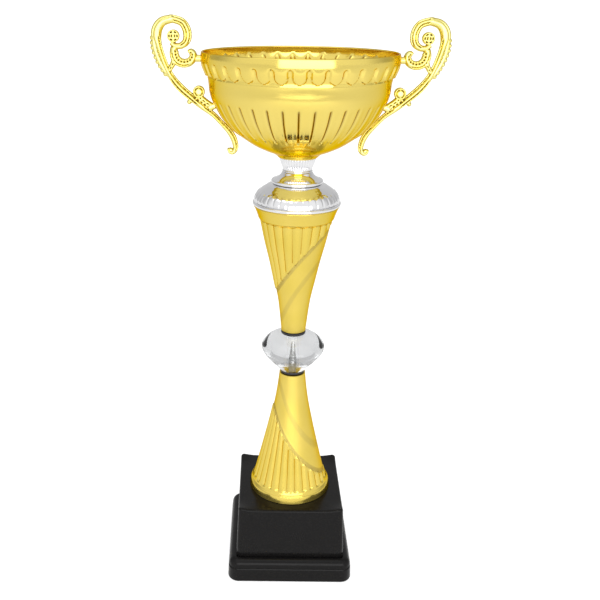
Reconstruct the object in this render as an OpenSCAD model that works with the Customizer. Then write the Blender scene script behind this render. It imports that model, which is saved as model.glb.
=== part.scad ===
// Cup trophy: a two-handled cup on a stack of hollow stem parts, clamped to a
// weighted plinth by one tie rod. Millimetres, +Z up. The origin is on the
// floor under the middle of the plinth, and the front faces -Y.

/* [Plinth] */
// Width of the lower step at the floor
step_w = 102; // [98:1:108]
// Height of the lower step
step_h = 20; // [17:1:24]
// Width of the upper block at its foot
block_w = 88.5; // [84:0.5:90]
// Height of the upper block
block_h = 44; // [36:1:60]
// Draft angle of the plinth's sides
plinth_draft = 2.28; // [1:0.01:3]
// Wall thickness of the plinth moulding
plinth_wall = 2.5; // [2:0.1:3]

/* [Stem] */
// Height of the lower cone
lower_cone_h = 106; // [95:1:120]
// Radius of the lower cone's foot flange
flange_r = 33.6; // [33:0.1:36]
// Height of the upper cone
upper_cone_h = 102.5; // [92:0.5:120]
// Wall thickness of the two cones
cone_wall = 1.8; // [1.4:0.1:2.2]
// Height of the clear knop
knop_h = 31.5; // [26:0.5:36]
// Largest radius of the clear knop
knop_r = 25; // [22:0.5:28]
// Thickness of each rubber gasket
gasket_t = 2; // [1.5:0.5:3]
// Radius of the dome at its bottom bead
dome_r = 33.1; // [33:0.1:35]
// Height of the dome
dome_h = 16.2; // [13:0.1:18]
// Height of the flared collar
collar_h = 8.6; // [8:0.1:11]
// Height of the neck under the cup
neck_h = 10.7; // [9:0.1:14]

/* [Cup] */
// Radius of the cup at its rolled rim
rim_r = 70.2; // [64:0.1:76]
// Height of the cup from its foot to the top of the rim
cup_h = 73.5; // [68:0.5:80]
// Thickness of the cup's sheet metal
sheet_t = 1; // [0.8:0.1:1.2]

/* [Handles] */
// Thickness of a handle, front to back
handle_t = 6; // [5:0.5:7]

/* [Fasteners] */
// Diameter of the tie rod
rod_d = 6; // [5:0.5:6]

/* [Hidden] */
$fn = 96;

// Levels of the stack, from the floor up
plinth_top = step_h + block_h;
lower_gasket_z = plinth_top + lower_cone_h;
knop_z = lower_gasket_z + gasket_t;
upper_gasket_z = knop_z + knop_h;
upper_cone_z = upper_gasket_z + gasket_t;
dome_z = upper_cone_z + upper_cone_h;
collar_z = dome_z + dome_h;
neck_z = collar_z + collar_h;
cup_z = neck_z + neck_h;
rim_z = cup_z + cup_h;

// Plinth
felt_t = 1;
board_t = 3;
block_corner_r = 3;
step_corner_r = 9;
shoulder_r = 6;
edge_r = 1.8;
step_groove = 0.8;
cavity_w = step_w - 2 * plinth_wall - 2;
felt_gap = 0.2;
cavity_corner_r = 6;
ledge_w = 3;
ballast_w = 78;
ballast_corner_r = 4;
ballast_h = 26;
ballast_bore_r = 15;

// Stem
web_t = 3;
disc_t = 3;
flange_h = 6;
gasket_r = 9.7;
dome_wall = 1.4;
dome_bead_h = 3.3;
bead_r = 1.2;
cone_top_r = 32.4;
dome_flat_r = 19;
dome_crown_r = 1.3;
dome_shoulder_in = 1;
dome_crown_rise = 2.6;
collar_wall = 1.3;
collar_foot_r = 19.4;
collar_bead_r = 1.5;
collar_top_r = 11.2;
neck_wall = 1.6;
neck_waist_r = 10.8;
neck_foot_r = 11.2;
neck_top_r = 14.2;
neck_web_t = 2;

// Fasteners: clearance holes, hexagon nuts and washers
rod_r = rod_d / 2 - 0.05;
rod_hole_r = rod_d / 2 + 0.25;
nut_bore_r = rod_d / 2;
nut_r = 0.96 * rod_d;
nut_h = 0.83 * rod_d;
washer_t = 1.5;
base_washer_r = 15;
bowl_washer_r = 9;
rod_spare = 2.5;
base_washer_z = plinth_top - plinth_wall - washer_t;
cup_floor_z = cup_z + sheet_t;
rod_bottom = base_washer_z - nut_h - rod_spare;
rod_top = cup_floor_z + washer_t + nut_h + rod_spare;

// Rolled bead of the cup's rim
rim_bead_r = 1;

// Screws of the handles: [distance below the rim, angle below level]
screw_seats = [[5.2, 0], [37.4, 25]];
screw_r = 1.4;
screw_l = 6;
screw_head_r = 2.7;
screw_head_h = 1.6;
boss_r = 2.4;

// Outside of the cup as [fraction of rim radius, fraction of cup height
// below the rim], from the rim to the foot
cup_curve = [
    [0.990, 0.012], [0.998, 0.070], [0.983, 0.129], [0.945, 0.210],
    [0.923, 0.262], [0.919, 0.322], [0.903, 0.377], [0.866, 0.484],
    [0.795, 0.610], [0.697, 0.722], [0.592, 0.796], [0.470, 0.876],
    [0.332, 0.939], [0.217, 0.970]
];

// Point at t, from 0 to 1, on the smooth stretch between b and c
function stretch_point(a, b, c, d, t) =
    0.5 * (2 * b + (c - a) * t + (2 * a - 5 * b + 4 * c - d) * t * t
    + (3 * b - a - 3 * c + d) * t * t * t);

// Smooth curve through the points p, with steps pieces to each stretch
function smooth(p, steps = 4) = let (last = len(p) - 1) [
    for (i = [0 : last - 1], s = [0 : steps - 1])
        stretch_point(p[max(i - 1, 0)], p[i], p[i + 1], p[min(i + 2, last)], s / steps),
    p[last]
];

// Direction of the line p at its point i
function heading(p, i) = let (
    a = p[max(i - 1, 0)],
    b = p[min(i + 1, len(p) - 1)],
    d = [b[0] - a[0], b[1] - a[1]]
) d / norm(d);

// Line p moved sideways by t to the left of its direction
function beside(p, t) = [
    for (i = [0 : len(p) - 1]) let (u = heading(p, i))
        [p[i][0] - t * u[1], p[i][1] + t * u[0]]
];

// List p back to front
function reversed(p) = [for (i = [len(p) - 1 : -1 : 0]) p[i]];

// Outline of a strap along the points p, each [x, z, width]
function strap_outline(p) = let (last = len(p) - 1) [
    for (i = [0 : last]) let (u = heading(p, i))
        [p[i][0] - u[1] * p[i][2] / 2, p[i][1] + u[0] * p[i][2] / 2],
    for (i = [last : -1 : 0]) let (u = heading(p, i))
        [p[i][0] + u[1] * p[i][2] / 2, p[i][1] - u[0] * p[i][2] / 2]
];

// Quarter round of radius r from angle a0 to a0 + 90 about [x, y]
function quarter(x, y, r, a0, steps = 6) = [
    for (i = [0 : steps]) let (a = a0 + 90 * i / steps)
        [x + r * cos(a), y + r * sin(a)]
];

// Square of width w with corners of radius r
module rounded_square(w, r) {
    square([w - 2 * r, w], center = true);
    square([w, w - 2 * r], center = true);
    for (x = [-1, 1], y = [-1, 1]) {
        translate([x * (w / 2 - r), y * (w / 2 - r)]) circle(r);
    }
}

// Right half of a section, mirrored and swept both ways across the plinth
module square_sweep(half, w) {
    whole = concat(half, [for (p = reversed(half)) [-p[0], p[1]]]);
    intersection() {
        rotate([90, 0, 0]) linear_extrude(w + 2, center = true) polygon(whole);
        rotate([90, 0, 90]) linear_extrude(w + 2, center = true) polygon(whole);
    }
}

// Flat ring from the tie rod's hole out to radius r
module drilled_disc(r, h) {
    difference() {
        cylinder(r = r, h = h);
        translate([0, 0, -1]) cylinder(r = rod_hole_r, h = h + 2);
    }
}

module hexagon_nut() {
    difference() {
        cylinder(r = nut_r, h = nut_h, $fn = 6);
        translate([0, 0, -1]) cylinder(r = nut_bore_r, h = nut_h + 2);
    }
}

module felt_sheet() {
    color("darkgreen") linear_extrude(felt_t) rounded_square(cavity_w - 2 * felt_gap, cavity_corner_r);
}

module base_board() {
    color("saddlebrown") translate([0, 0, felt_t])
        linear_extrude(board_t) rounded_square(cavity_w - 2 * felt_gap, cavity_corner_r);
}

module ballast_block() {
    color("dimgray") translate([0, 0, felt_t + board_t]) difference() {
        linear_extrude(ballast_h) rounded_square(ballast_w, ballast_corner_r);
        translate([0, 0, -1]) cylinder(r = ballast_bore_r, h = ballast_h + 2);
    }
}

module plinth_shell() {
    lean = tan(plinth_draft);
    step_half = step_w / 2;
    step_top = step_half - step_h * lean;
    block_half = block_w / 2;
    block_top = block_half - block_h * lean;
    groove_z = 0.62 * step_h;
    groove_x = step_half - groove_z * lean;
    step_side = concat(
        [[step_half - edge_r, 0]],
        quarter(step_half - edge_r, edge_r, edge_r, -90),
        [[groove_x, groove_z - step_groove], [groove_x - step_groove, groove_z]],
        [[groove_x - 0.1, groove_z + step_groove]],
        quarter(step_top - shoulder_r, step_h - shoulder_r, shoulder_r, 0),
        [[0, step_h]]
    );
    block_side = concat(
        [[block_half, step_h - 2], [block_half, step_h]],
        quarter(block_top - edge_r, plinth_top - edge_r, edge_r, 0),
        [[0, plinth_top]]
    );
    color("#1c1b1b") difference() {
        union() {
            intersection() {
                square_sweep(step_side, step_w);
                linear_extrude(step_h) rounded_square(step_w, step_corner_r);
            }
            intersection() {
                square_sweep(block_side, block_w);
                linear_extrude(plinth_top) rounded_square(block_w, block_corner_r);
            }
        }
        translate([0, 0, -1])
            linear_extrude(felt_t + board_t + 1) rounded_square(cavity_w, cavity_corner_r);
        translate([0, 0, -1]) linear_extrude(step_h - plinth_wall + 1)
            rounded_square(cavity_w - 2 * ledge_w, cavity_corner_r);
        translate([0, 0, -1]) linear_extrude(plinth_top - plinth_wall + 1)
            rounded_square(2 * (block_top - plinth_wall), block_corner_r);
        translate([0, 0, plinth_top - plinth_wall - 1])
            cylinder(r = rod_hole_r, h = plinth_wall + 2);
    }
}

module base_nut() {
    color("silver") translate([0, 0, base_washer_z - nut_h]) hexagon_nut();
}

module base_washer() {
    color("silver") translate([0, 0, base_washer_z]) drilled_disc(base_washer_r, washer_t);
}

module tie_rod() {
    color("gray") translate([0, 0, rod_bottom]) cylinder(r = rod_r, h = rod_top - rod_bottom);
}

// Hollow cone from a curve of [height above the narrow end, radius] points,
// closed at its narrow end by a drilled web
module cone_shell(curve) {
    rotate_extrude() difference() {
        polygon(concat([[0, 0]], [for (p = curve) [p[1], p[0]]],
            [[0, curve[len(curve) - 1][0]]]));
        polygon(concat([[0, web_t]],
            [for (p = curve) if (p[0] > web_t) [p[1] - cone_wall, p[0]]],
            [[0, curve[len(curve) - 1][0] + 1]]));
        translate([0, -1]) square([rod_hole_r, web_t + 2]);
    }
}

// Side of the lower cone, narrow end first, with its flange turned outwards
module lower_cone() {
    h = lower_cone_h;
    side = smooth([[0, 10.9], [0.21 * h, 13.7], [0.42 * h, 18.1], [0.6 * h, 22.4],
        [0.8 * h, 27.4], [h - flange_h - 3, 30.6], [h - flange_h, flange_r - 0.5]]);
    color("gold") translate([0, 0, lower_gasket_z]) mirror([0, 0, 1])
        cone_shell(concat(side, [[h - flange_h + 0.5, flange_r], [h, flange_r]]));
}

module lower_cone_disc() {
    color("ivory") translate([0, 0, plinth_top]) drilled_disc(flange_r - cone_wall - 0.1, disc_t);
}

module lower_gasket() {
    color("#202020") translate([0, 0, lower_gasket_z]) drilled_disc(gasket_r, gasket_t);
}

// Clear saucer: a domed top, a rounded equator and a bowl-shaped underside
module knop() {
    side = smooth([[10.1, 0], [0.576 * knop_r, 0.155 * knop_h], [0.772 * knop_r, 0.32 * knop_h],
        [0.944 * knop_r, 0.495 * knop_h], [knop_r, 0.62 * knop_h], [0.968 * knop_r, 0.73 * knop_h],
        [0.836 * knop_r, 0.85 * knop_h], [0.64 * knop_r, 0.95 * knop_h], [10, knop_h]]);
    color("#dfe6ea") translate([0, 0, knop_z]) difference() {
        rotate_extrude() polygon(concat([[0, 0]], side, [[0, knop_h]]));
        translate([0, 0, -1]) cylinder(r = rod_hole_r, h = knop_h + 2);
    }
}

module upper_gasket() {
    color("#202020") translate([0, 0, upper_gasket_z]) drilled_disc(gasket_r, gasket_t);
}

// Side of the upper cone, narrow end first, with a plain band at its top
module upper_cone() {
    h = upper_cone_h;
    side = smooth([[0, 10.2], [0.24 * h, 13], [0.41 * h, 16.5], [0.57 * h, 20],
        [0.73 * h, 24], [0.895 * h, 27.7]]);
    band = smooth([[0.905 * h, 27.9], [0.95 * h, 30], [h, cone_top_r]]);
    color("gold") translate([0, 0, upper_cone_z]) cone_shell(concat(side, band));
}

module upper_cone_disc() {
    color("ivory") translate([0, 0, dome_z - disc_t])
        drilled_disc(cone_top_r - cone_wall - 1.5, disc_t);
}

// Lobed cap: a bead at the bottom and an elliptical shell up to a drilled flat
module dome() {
    rise = dome_h - dome_bead_h + dome_crown_rise;
    reach = dome_r - dome_crown_r - dome_shoulder_in;
    top_a = acos((dome_flat_r - dome_crown_r) / reach);
    outer = [for (i = [0 : 12]) let (a = top_a * i / 12)
        [dome_crown_r + reach * cos(a), dome_bead_h + rise * sin(a)]];
    inner = [for (i = [0 : 12]) let (a = top_a * i / 12)
        [dome_crown_r + (reach - dome_wall) * cos(a), dome_bead_h + (rise - dome_wall) * sin(a)]];
    top = outer[12][1];
    color("silver") translate([0, 0, dome_z]) rotate_extrude() difference() {
        polygon(concat([[0, 0]], quarter(dome_r - bead_r, bead_r, bead_r, -90),
            quarter(dome_r - bead_r, dome_bead_h - bead_r, bead_r, 0), outer, [[0, top]]));
        polygon(concat([[0, -1], [inner[0][0], -1]], inner, [[0, inner[12][1]]]));
        square([rod_hole_r, 2 * dome_h]);
    }
}

// Flared ring with a round bead at its foot
module collar() {
    bead_x = collar_foot_r - collar_bead_r;
    roof = collar_h - collar_wall;
    side = smooth([[collar_foot_r - 1.2, 0.34 * collar_h], [15, 0.5 * collar_h],
        [12.7, 0.7 * collar_h], [collar_top_r, collar_h]]);
    color("silver") translate([0, 0, collar_z]) rotate_extrude() difference() {
        union() {
            polygon(concat([[0, 0], [bead_x, 0]], side, [[0, collar_h]]));
            translate([bead_x, collar_bead_r]) circle(collar_bead_r);
        }
        polygon(concat([[0, -1], [bead_x - collar_wall, -1]],
            [for (p = side) if (p[1] < roof) [p[0] - collar_wall, p[1] - collar_wall / 2]],
            [[collar_top_r - collar_wall, roof], [0, roof]]));
        square([rod_hole_r, 2 * collar_h]);
    }
}

// Waisted spacer with a lip at its foot and a drilled web at its top
module neck() {
    side = smooth([[neck_foot_r, 0], [neck_foot_r, 0.08 * neck_h], [neck_waist_r, 0.2 * neck_h],
        [12.1, 0.5 * neck_h], [13.3, 0.8 * neck_h], [neck_top_r, neck_h]]);
    bore = neck_waist_r - neck_wall;
    roof = neck_h - neck_web_t;
    color("silver") translate([0, 0, neck_z]) rotate_extrude() difference() {
        polygon(concat([[0, 0]], side, [[0, neck_h]]));
        polygon([[0, -1], [bore, -1], [bore, roof], [0, roof]]);
        square([rod_hole_r, 2 * neck_h]);
    }
}

// Outside of the cup from rim to foot
function cup_side() = smooth([for (p = cup_curve) [p[0] * rim_r, rim_z - p[1] * cup_h]], 3);

// Solid that fills the cup's whole outside
module cup_envelope() {
    rotate_extrude()
        polygon(concat([[0, rim_z], [rim_r - rim_bead_r, rim_z]], cup_side(), [[0, cup_z]]));
}

// Place one screw's axis: out of the cup along +X from the wall's inside
module at_screw(side, seat) {
    z = rim_z - seat[0];
    r = lookup(z, [for (p = reversed(cup_side())) [p[1], p[0]]]);
    mirror([side < 0 ? 1 : 0, 0, 0]) translate([r, 0, z]) rotate([0, seat[1], 0])
        rotate([0, 90, 0]) children();
}

// Pressed cup with a rolled rim, a drilled flat foot and four screw holes
module bowl() {
    outside = cup_side();
    inside = [for (p = beside(outside, -sheet_t)) if (p[1] > cup_floor_z + 1) p];
    foot = outside[len(outside) - 1][0] - 0.4;
    color("goldenrod") difference() {
        union() {
            rotate_extrude() polygon(concat(outside, [[foot, cup_z], [rod_hole_r, cup_z],
                [rod_hole_r, cup_floor_z], [foot - sheet_t, cup_floor_z]], reversed(inside)));
            rotate_extrude() translate([rim_r - rim_bead_r, rim_z - rim_bead_r]) circle(rim_bead_r);
        }
        for (side = [-1, 1], seat = screw_seats) {
            at_screw(side, seat) translate([0, 0, -4]) cylinder(r = screw_r + 0.2, h = 8);
        }
    }
}

module bowl_washer() {
    color("silver") translate([0, 0, cup_floor_z]) drilled_disc(bowl_washer_r, washer_t);
}

module bowl_nut() {
    color("silver") translate([0, 0, cup_floor_z + washer_t]) hexagon_nut();
}

// Straps of the right handle: [distance from the cup's axis, height above the
// rim, width]. The main strap rises from the end curl to the top scroll. They
// were drawn for a cup with the rim radius strap_rim_r.
strap_rim_r = 70.2;
main_strap = [
    [46.6, -68.2, 4.2], [46.8, -64.5, 4.6], [48.0, -59.2, 4.8], [50.6, -54.6, 4.2],
    [55.3, -50.1, 3.6], [61.4, -43.9, 3.8], [70.2, -37.7, 4.2], [78.0, -31.4, 5.4],
    [84.2, -26.0, 5.4], [90.0, -20.0, 6.0], [94.8, -14.4, 7.4], [98.0, -8.6, 8.0],
    [100.3, -2.4, 8.2], [101.5, 4.2, 8.0], [101.0, 11.6, 7.4], [97.0, 17.8, 6.2],
    [89.2, 21.1, 5.2]
];
top_scroll = [
    [90.8, 21.0, 5.2], [89.2, 21.1, 5.2], [82.3, 18.6, 5.2], [79.3, 14.0, 5.5],
    [78.9, 8.8, 5.7], [80.3, 5.4, 5.4], [83.7, 3.1, 4.6], [87.4, 3.1, 3.8], [90.4, 5.2, 3.6]
];
lower_scroll = [
    [88.4, 2.0, 4.4], [88.4, -2.4, 5.4], [86.9, -6.4, 5.2], [84.0, -8.8, 4.6],
    [80.5, -9.4, 4.6], [77.2, -8.2, 4.4], [74.4, -5.4, 4.2], [73.6, -2.2, 3.6],
    [75.6, -0.3, 3.0], [78.2, -0.4, 1.6]
];
tail_leaf = [[88.0, -5.0, 4.0], [89.9, -9.6, 3.6], [93.0, -13.8, 3.0]];
wall_leaf = [[72.5, -30.5, 6.0], [68.4, -33.8, 4.8], [64.5, -36.4, 4.2], [60.0, -38.6, 3.6]];

// Round ends: [distance from the cup's axis, height above the rim, radius]
beads = [[49.1, -69.4, 3.1], [71.6, -28.0, 4.2], [88.9, 9.4, 4.6], [75.7, -2.4, 2.2],
    [77.6, -35.0, 2.0]];

// Flat scroll handle on the cup's right side, bedded against the cup
module handle() {
    place = [rim_r - strap_rim_r, rim_z];
    color("gold") difference() {
        union() {
            translate([place[0], handle_t / 2, place[1]]) rotate([90, 0, 0])
                linear_extrude(handle_t) {
                    for (s = [main_strap, top_scroll, lower_scroll, tail_leaf, wall_leaf]) {
                        polygon(strap_outline(smooth(s, 4)));
                    }
                    for (b = beads) translate([b[0], b[1]]) circle(b[2]);
                }
            for (seat = screw_seats) {
                at_screw(1, seat) translate([0, 0, -2]) cylinder(r = boss_r, h = 7);
            }
        }
        cup_envelope();
        for (seat = screw_seats) {
            at_screw(1, seat) translate([0, 0, -4]) cylinder(r = screw_r, h = screw_l + 4.2);
        }
    }
}

module handle_right() {
    handle();
}

module handle_left() {
    mirror([1, 0, 0]) handle();
}

// Four screws with pan heads inside the cup
module handle_screws() {
    color("darkgoldenrod") for (side = [-1, 1], seat = screw_seats) {
        at_screw(side, seat) {
            translate([0, 0, -sheet_t]) cylinder(r = screw_r - 0.05, h = screw_l + sheet_t);
            translate([0, 0, -sheet_t - screw_head_h]) cylinder(r = screw_head_r, h = screw_head_h);
        }
    }
}

felt_sheet();
base_board();
ballast_block();
plinth_shell();
base_nut();
base_washer();
tie_rod();
lower_cone_disc();
lower_cone();
lower_gasket();
knop();
upper_gasket();
upper_cone();
upper_cone_disc();
dome();
collar();
neck();
bowl();
bowl_washer();
bowl_nut();
handle_left();
handle_right();
handle_screws();
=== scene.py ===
import math

import bpy
import numpy as np
from mathutils import Matrix, Vector


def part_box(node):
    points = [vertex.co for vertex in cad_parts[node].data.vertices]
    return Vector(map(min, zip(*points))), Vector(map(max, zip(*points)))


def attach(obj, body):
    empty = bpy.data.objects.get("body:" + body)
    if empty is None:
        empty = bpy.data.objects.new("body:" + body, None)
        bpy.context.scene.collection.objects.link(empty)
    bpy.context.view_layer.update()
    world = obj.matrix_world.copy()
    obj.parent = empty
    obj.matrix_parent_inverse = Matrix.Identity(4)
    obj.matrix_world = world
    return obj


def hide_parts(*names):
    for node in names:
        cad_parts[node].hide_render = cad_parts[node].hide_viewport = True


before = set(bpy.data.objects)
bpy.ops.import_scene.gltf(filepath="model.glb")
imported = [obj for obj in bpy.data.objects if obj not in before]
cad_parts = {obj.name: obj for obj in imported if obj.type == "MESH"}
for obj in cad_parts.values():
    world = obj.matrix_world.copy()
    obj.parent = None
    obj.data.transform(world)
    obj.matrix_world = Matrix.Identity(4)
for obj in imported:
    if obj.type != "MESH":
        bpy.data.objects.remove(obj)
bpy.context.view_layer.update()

# Looks of the cup trophy. Lengths are millimetres up to the moment a mesh is
# made, and +Z is up. Angles run from the front (-Y), positive towards +X.
MM = 0.001
TAU = 2 * math.pi


# ---------- the frame

def span(node):
    """Lowest and highest level of a CAD node."""
    low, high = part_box(node)
    return low.z / MM, high.z / MM


def reach(node):
    """Largest radius of a CAD node that was turned on a lathe."""
    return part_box(node)[1].x / MM


CUP_FOOT, RIM = span("bowl")
RIM_R = reach("bowl")
CUP_H = RIM - CUP_FOOT
ROD_HOLE_R = reach("tie_rod") + 0.3
SHEET_T = 1.0
HANDLE_T = 2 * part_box("handle_right")[1].y / MM
LOBES = 36
TONGUES = 36
UPPER_REEDS = 21
LOWER_REEDS = 26
# The cup's pattern is turned a little towards the left of the front
CUP_TURN = math.radians(-2.5)


# ---------- curves

def smooth(points, steps=6):
    """Catmull-Rom curve through the points, with that many pieces to a stretch."""
    p = np.array(points, float)
    p = np.vstack([p[:1], p, p[-1:]])
    t = np.linspace(0, 1, steps, endpoint=False)[:, None]
    pieces = [
        0.5 * (2 * b + (c - a) * t + (2 * a - 5 * b + 4 * c - d) * t**2
               + (3 * b - a - 3 * c + d) * t**3)
        for a, b, c, d in zip(p, p[1:], p[2:], p[3:])
    ]
    return np.vstack(pieces + [p[-1:]])


def respaced(curve, step):
    """The same curve with points a step apart. The step is a number, or a function of the height."""
    curve = np.array(curve, float)
    gaps = np.linalg.norm(np.diff(curve[:, :2], axis=0), axis=1)
    middle = (curve[1:, 1] + curve[:-1, 1]) / 2
    steps = step(middle) if callable(step) else step
    count = np.r_[0, np.cumsum(gaps / steps)]
    marks = np.linspace(0, count[-1], int(math.ceil(count[-1])) + 1)
    return np.column_stack([np.interp(marks, count, c) for c in curve.T])


def arc(r, z, radius, start, end, steps=6):
    """Points on a circle about (r, z), between two angles in degrees."""
    a = np.radians(np.linspace(start, end, steps + 1))
    return np.column_stack([r + radius * np.cos(a), z + radius * np.sin(a)])


def headings(curve):
    """Unit direction of the curve at each point."""
    ahead = np.gradient(curve[:, :2], axis=0)
    return ahead / np.linalg.norm(ahead, axis=1)[:, None]


def offset(curve, distance):
    """The curve moved to the left of its direction."""
    ahead = headings(curve)
    return curve[:, :2] + distance * np.column_stack([-ahead[:, 1], ahead[:, 0]])


def ramp(x, start, end):
    """Smooth step from 0 at start to 1 at end."""
    t = np.clip((x - start) / (end - start), 0, 1)
    return t * t * (3 - 2 * t)


def nearest(angle, count, first=0.0):
    """Angle from the nearest of count marks, spaced evenly round from the angle first."""
    pitch = TAU / count
    return (angle - first + pitch / 2) % pitch - pitch / 2


def soft_min(a, b, blend):
    """Smaller of two distances, rounded where they meet."""
    t = np.clip(0.5 + 0.5 * (b - a) / blend, 0, 1)
    return b * (1 - t) + a * t - blend * t * (1 - t)


# ---------- meshes

def shown(name, data):
    """A new object in the scene."""
    thing = bpy.data.objects.new(name, data)
    bpy.context.scene.collection.objects.link(thing)
    return thing


def build(name, vertices, faces, attributes=None, corner=35):
    """A mesh object with its faces outwards, smooth apart from edges sharper than the corner angle.
    The vertices may come as a grid."""
    points = np.array(vertices, float).reshape(-1, 3)
    volume = 0.0
    by_size = {}
    for f in faces:
        by_size.setdefault(len(f), []).append(f)
    for size, group in by_size.items():
        ids = np.array(group)
        for i in range(1, size - 1):
            a, b, c = points[ids[:, 0]], points[ids[:, i]], points[ids[:, i + 1]]
            volume += float(np.einsum("ij,ij->i", a, np.cross(b, c)).sum())
    if volume < 0:
        faces = [f[::-1] for f in faces]
    mesh = bpy.data.meshes.new(name)
    mesh.from_pydata((points * MM).tolist(), [], faces)
    mesh.update()
    mesh.shade_smooth()
    mesh.set_sharp_from_angle(angle=math.radians(corner))
    for key, values in (attributes or {}).items():
        layer = mesh.attributes.new(key, "FLOAT", "POINT")
        layer.data.foreach_set("value", np.ravel(values).astype(np.float32))
    return shown(name, mesh)


def ring_faces(rows, around, closed=True, start=0):
    """Quads between the rows of a grid that is closed round. Closed also joins the last row to the
    first; otherwise the two ends are capped."""
    index = np.arange(rows * around).reshape(rows, around) + start
    lower = index if closed else index[:-1]
    upper = np.roll(index, -1, 0) if closed else index[1:]
    quads = np.stack([lower, np.roll(lower, -1, 1), np.roll(upper, -1, 1), upper], -1)
    faces = quads.reshape(-1, 4).tolist()
    if not closed:
        faces += [index[0][::-1].tolist(), index[-1].tolist()]
    return faces


def turned(radius, height, angle):
    """Points about the Z axis."""
    return np.stack([radius * np.sin(angle), -radius * np.cos(angle), height + 0 * angle], -1)


def lathe(name, outline, around=96, relief=None, marks=None, corner=35):
    """A closed outline turned about the Z axis. Its columns are radius, height and, for a patterned
    piece, the pattern's weight and height. relief(angle, radius, height) is how far the surface
    sinks in, and each of marks is a number at every vertex, from (angle, height)."""
    outline = np.array(outline, float)
    r, z = outline[:, 0], outline[:, 1]
    if np.sum(r * np.roll(z, -1) - np.roll(r, -1) * z) < 0:
        outline = outline[::-1]
        r, z = outline[:, 0], outline[:, 1]
    ahead = np.roll(outline[:, :2], -1, 0) - np.roll(outline[:, :2], 1, 0)
    ahead /= np.linalg.norm(ahead, axis=1)[:, None]
    angle = np.linspace(0, TAU, around, endpoint=False)[None, :]
    depth = np.zeros((len(r), around))
    weight, level = (outline[:, 2:3], outline[:, 3:4]) if outline.shape[1] > 2 else (1.0, z[:, None])
    if relief:
        depth = relief(angle, r[:, None], level) * weight
    rings = turned(r[:, None] - ahead[:, 1:2] * depth, z[:, None] + ahead[:, 0:1] * depth, angle)
    attributes = {k: f(angle + 0 * level, level + 0 * angle) for k, f in (marks or {}).items()}
    return build(name, rings, ring_faces(len(r), around), attributes, corner)


def place(piece, nodes, material):
    """The piece stands for those CAD nodes, which it hides, and takes the finish it is given."""
    piece.data.materials.clear()
    piece.data.materials.append(material)
    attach(piece, "root")
    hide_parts(*nodes)


# ---------- materials

class Nodes:
    """Short calls that add shader nodes to a tree."""

    def __init__(self, tree):
        self.tree = tree

    def node(self, kind, *inputs, **settings):
        """A node with its settings, and its sockets filled in order by links or numbers."""
        made = self.tree.nodes.new("ShaderNode" + kind)
        for key, value in settings.items():
            setattr(made, key, value)
        for socket, value in zip(made.inputs, inputs):
            if isinstance(value, bpy.types.NodeSocket):
                self.tree.links.new(value, socket)
            elif value is not None:
                socket.default_value = value
        return made

    def math(self, operation, *values):
        return self.node("Math", *values, operation=operation).outputs[0]

    def colors(self, value, *stops):
        """The value turned into a colour by (position, colour) stops."""
        made = self.node("ValToRGB", value)
        elements = made.color_ramp.elements
        while len(elements) < len(stops):
            elements.new(0.5)
        for element, (position, color) in zip(elements, stops):
            element.position = position
            element.color = (*color, 1)
        return made.outputs[0]

    def blend(self, share, first, second):
        """A mix of two colours, which a Mix node takes after five other sockets."""
        made = self.node("Mix", share, *[None] * 5, first, second, data_type="RGBA")
        return made.outputs[2]


class Finish(Nodes):
    """A Principled material, with short calls for the patterns that give it its detail."""

    def __init__(self, name, **sockets):
        self.made = bpy.data.materials.new(name)
        self.made.use_nodes = True
        super().__init__(self.made.node_tree)
        self.shader = self.tree.nodes["Principled BSDF"]
        for key, value in sockets.items():
            self.shader.inputs[key.replace("_", " ")].default_value = value
        self.place = self.node("TexCoord").outputs["Object"]

    def pattern(self, kind, output, where=None, **sockets):
        made = self.node(kind)
        self.tree.links.new(where or self.place, made.inputs["Vector"])
        for key, value in sockets.items():
            made.inputs[key].default_value = value
        return made.outputs[output]

    def noise(self, scale, detail=3.0, where=None):
        return self.pattern("TexNoise", "Fac", where, Scale=scale, Detail=detail)

    def cells(self, scale):
        return self.pattern("TexVoronoi", "Distance", Scale=scale)

    def stretched(self, x, y, z):
        """Object coordinates scaled by axis, for streaks and grain."""
        return self.node("VectorMath", self.place, (x, y, z), operation="MULTIPLY").outputs[0]

    def round_axis(self, turn, out, up):
        """Coordinates that run round the Z axis, outwards and upwards, each scaled."""
        x, y, z = self.node("SeparateXYZ", self.place).outputs
        angle = self.math("ARCTAN2", x, self.math("MULTIPLY", y, -1.0))
        radius = self.math("SQRT", self.math("ADD", self.math("MULTIPLY", x, x),
                                             self.math("MULTIPLY", y, y)))
        return self.node("CombineXYZ", self.math("MULTIPLY", angle, turn),
                         self.math("MULTIPLY", radius, out),
                         self.math("MULTIPLY", z, up)).outputs[0]

    def mark(self, name):
        """A number that the mesh carries at its vertices."""
        return self.node("Attribute", attribute_name=name).outputs["Fac"]

    def between(self, value, low, high, start=0.35, end=0.65):
        """The value, which mostly lies from start to end, turned into low to high."""
        return self.node("MapRange", value, start, end, low, high).outputs[0]

    def set(self, socket, value):
        self.tree.links.new(value, self.shader.inputs[socket])

    def bump(self, *layers):
        """Layers of (height, distance in metres), laid over each other."""
        below = None
        for height, distance in layers:
            made = self.node("Bump")
            made.inputs["Strength"].default_value = 1.0
            made.inputs["Distance"].default_value = distance
            self.tree.links.new(height, made.inputs["Height"])
            if below is not None:
                self.tree.links.new(below, made.inputs["Normal"])
            below = made.outputs["Normal"]
        self.set("Normal", below)


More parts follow.
